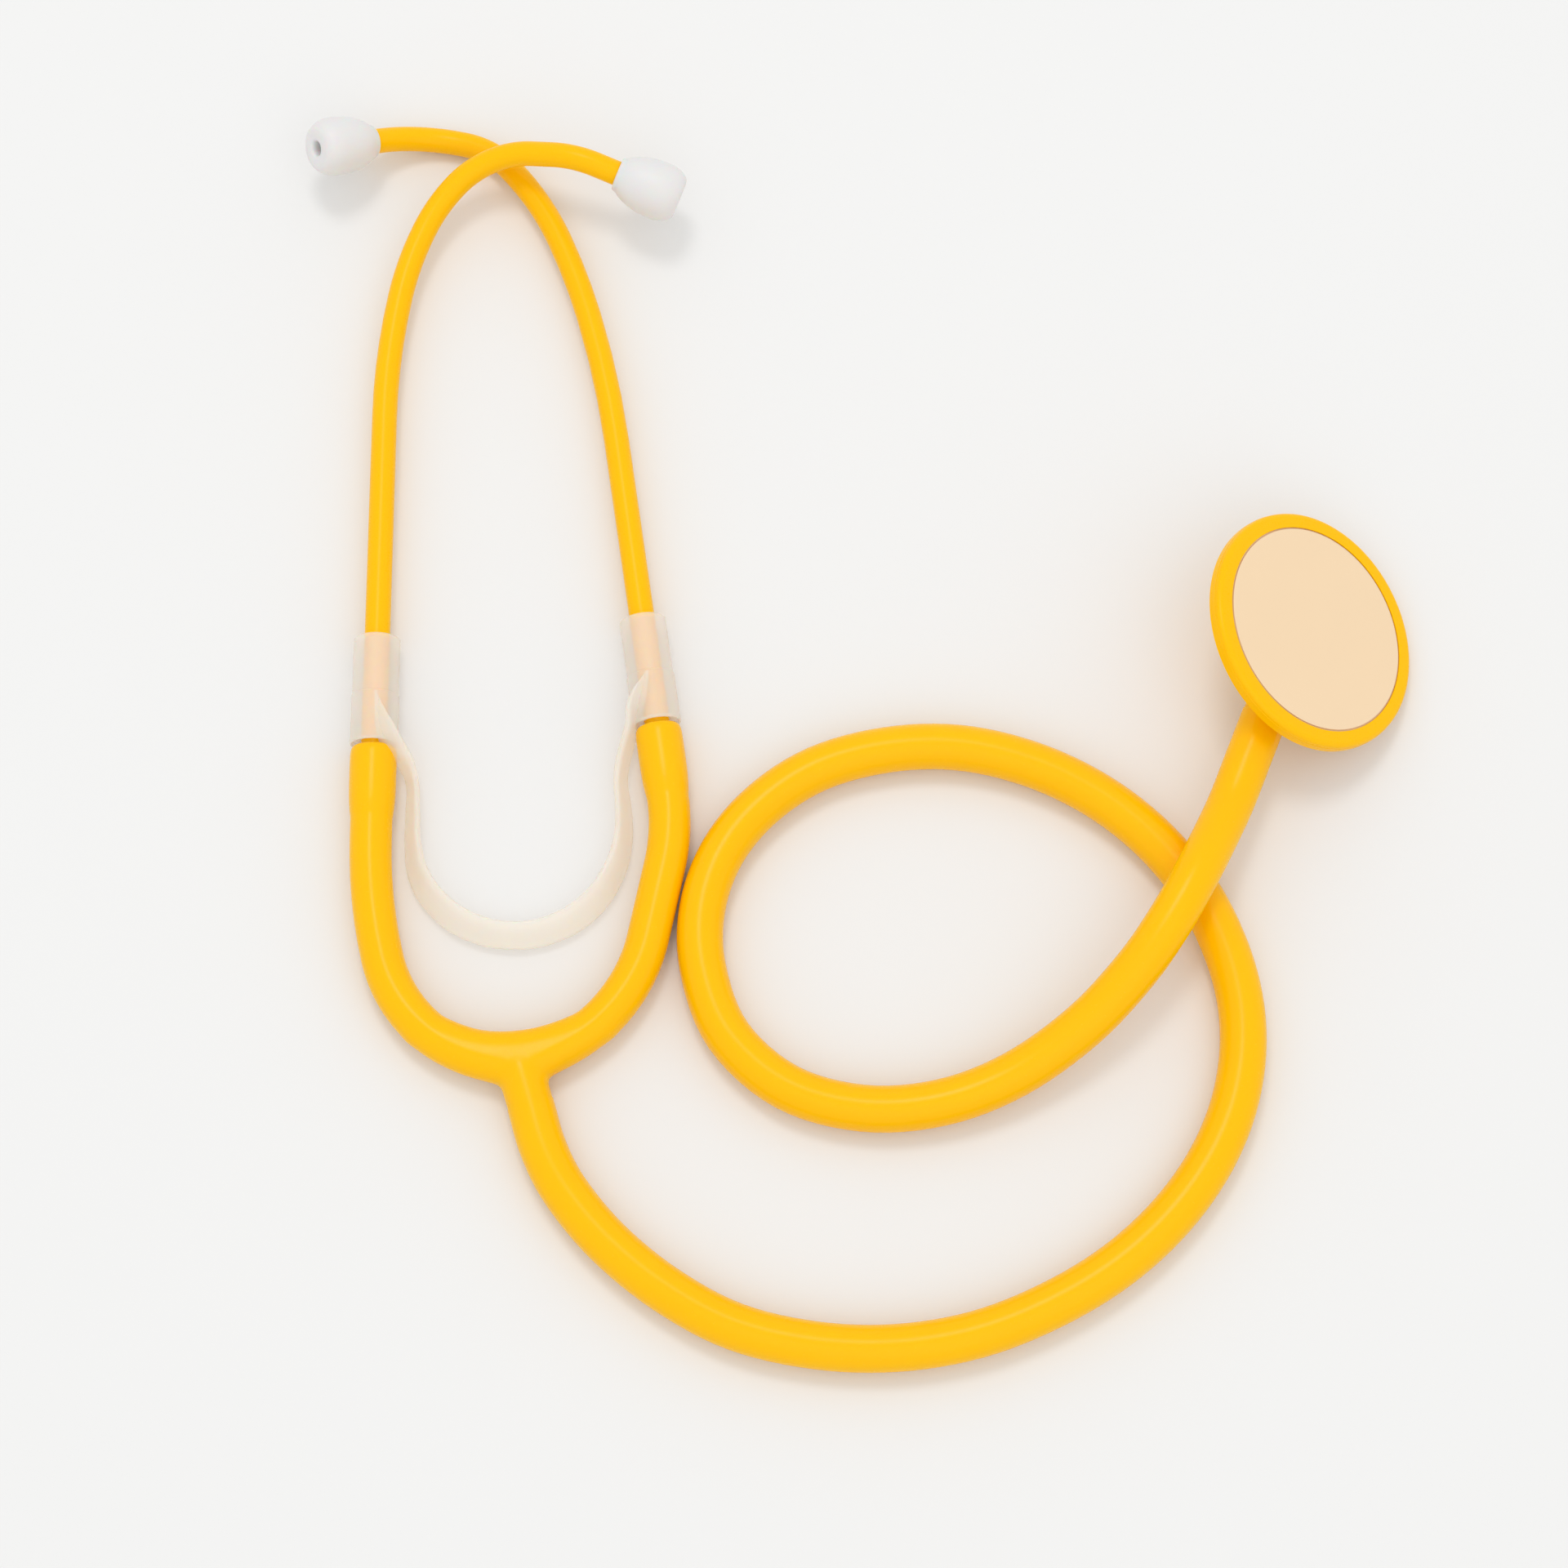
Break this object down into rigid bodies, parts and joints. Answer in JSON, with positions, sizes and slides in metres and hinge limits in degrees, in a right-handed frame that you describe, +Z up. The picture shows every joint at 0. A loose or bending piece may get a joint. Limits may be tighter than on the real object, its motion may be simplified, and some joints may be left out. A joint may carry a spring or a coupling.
{
  "type": "stethoscope",
  "caption": "Single-head stethoscope in moulded plastic: crossed ear tubes in a strap spring, a Y tube with a long flexible hose, and a round diaphragm head with a knurled screw ring.",
  "frame": {"origin": "middle of the laid-out object's box on the table, without the hose", "axes": "+Z up from the table, +Y from the Y tube towards the ear tips, +X from the ear tubes towards the head"},
  "size_m": [0.2202, 0.2573, 0.0286],
  "materials": {
    "soft_yellow": "satin",
    "hard_yellow": "semi-gloss",
    "frosted": "frosted, translucent",
    "white_soft": "satin",
    "film": "satin, slightly translucent"
  },
  "bodies": {
    "y_tube": {"y_junction": "soft_yellow", "y_arm_left": "soft_yellow", "y_arm_right": "soft_yellow", "stem_tube": "soft_yellow", "spring_strap": "frosted", "spring_sleeve_left": "frosted"},
    "right_sleeve": {"spring_sleeve_right": "frosted"},
    "left_ear_tube": {"ear_tube_left": "hard_yellow"},
    "right_ear_tube": {"ear_tube_right": "hard_yellow"},
    "left_tip": {"ear_tip_left": "white_soft"},
    "right_tip": {"ear_tip_right": "white_soft"},
    "chestpiece": {"chestpiece_body": "hard_yellow"},
    "diaphragm": {"diaphragm": "film"},
    "ring": {"retaining_ring": "hard_yellow"}
  },
  "joints": [
    {"name": "spread", "type": "hinge", "parent": "y_tube", "child": "right_sleeve", "pos_m": [-0.03537, -0.03907, 0.00475], "axis": [0, 0, -1], "range_deg": [0, 45], "stiffness_Nm_per_rad": 0.4, "deforming": ["y_arm_right", "spring_strap"]},
    {"name": "left_tube_twist", "type": "hinge", "parent": "y_tube", "child": "left_ear_tube", "pos_m": [-0.0925, -0.0315, 0.00475], "axis": [0, -1, 0], "range_deg": [0, 60]},
    {"name": "right_tube_twist", "type": "hinge", "parent": "right_sleeve", "child": "right_ear_tube", "pos_m": [-0.0371, -0.0272, 0.00475], "axis": [0.1444, -0.9895, 0], "range_deg": [0, 30]},
    {"name": "left_tip_pull", "type": "slide", "parent": "left_ear_tube", "child": "left_tip", "axis": [0.924, -0.3411, -0.1727], "range_m": [0, 0.008]},
    {"name": "right_tip_pull", "type": "slide", "parent": "right_ear_tube", "child": "right_tip", "axis": [-0.771, -0.3748, 0.5148], "range_m": [0, 0.008]},
    {"name": "chestpiece_swivel", "type": "hinge", "parent": "y_tube", "child": "chestpiece", "pos_m": [0.08096, -0.02704, 0.01014], "axis": [-0.3728, -0.9279, -0.0049], "range_deg": [0, 65]},
    {"name": "diaphragm_lift", "type": "slide", "parent": "chestpiece", "child": "diaphragm", "axis": [0.5433, 0.038, 0.8387], "range_m": [0, 0.0024]},
    {"name": "ring_turn", "type": "hinge", "parent": "diaphragm", "child": "ring", "pos_m": [0.0911, -0.011, 0.0161], "axis": [0.5433, 0.038, 0.8387], "range_deg": [0, 432]}
  ],
  "couplings": [
    {"joint": "diaphragm_lift", "follows": "ring_turn", "m_per_rad": 0.000318}
  ]
}
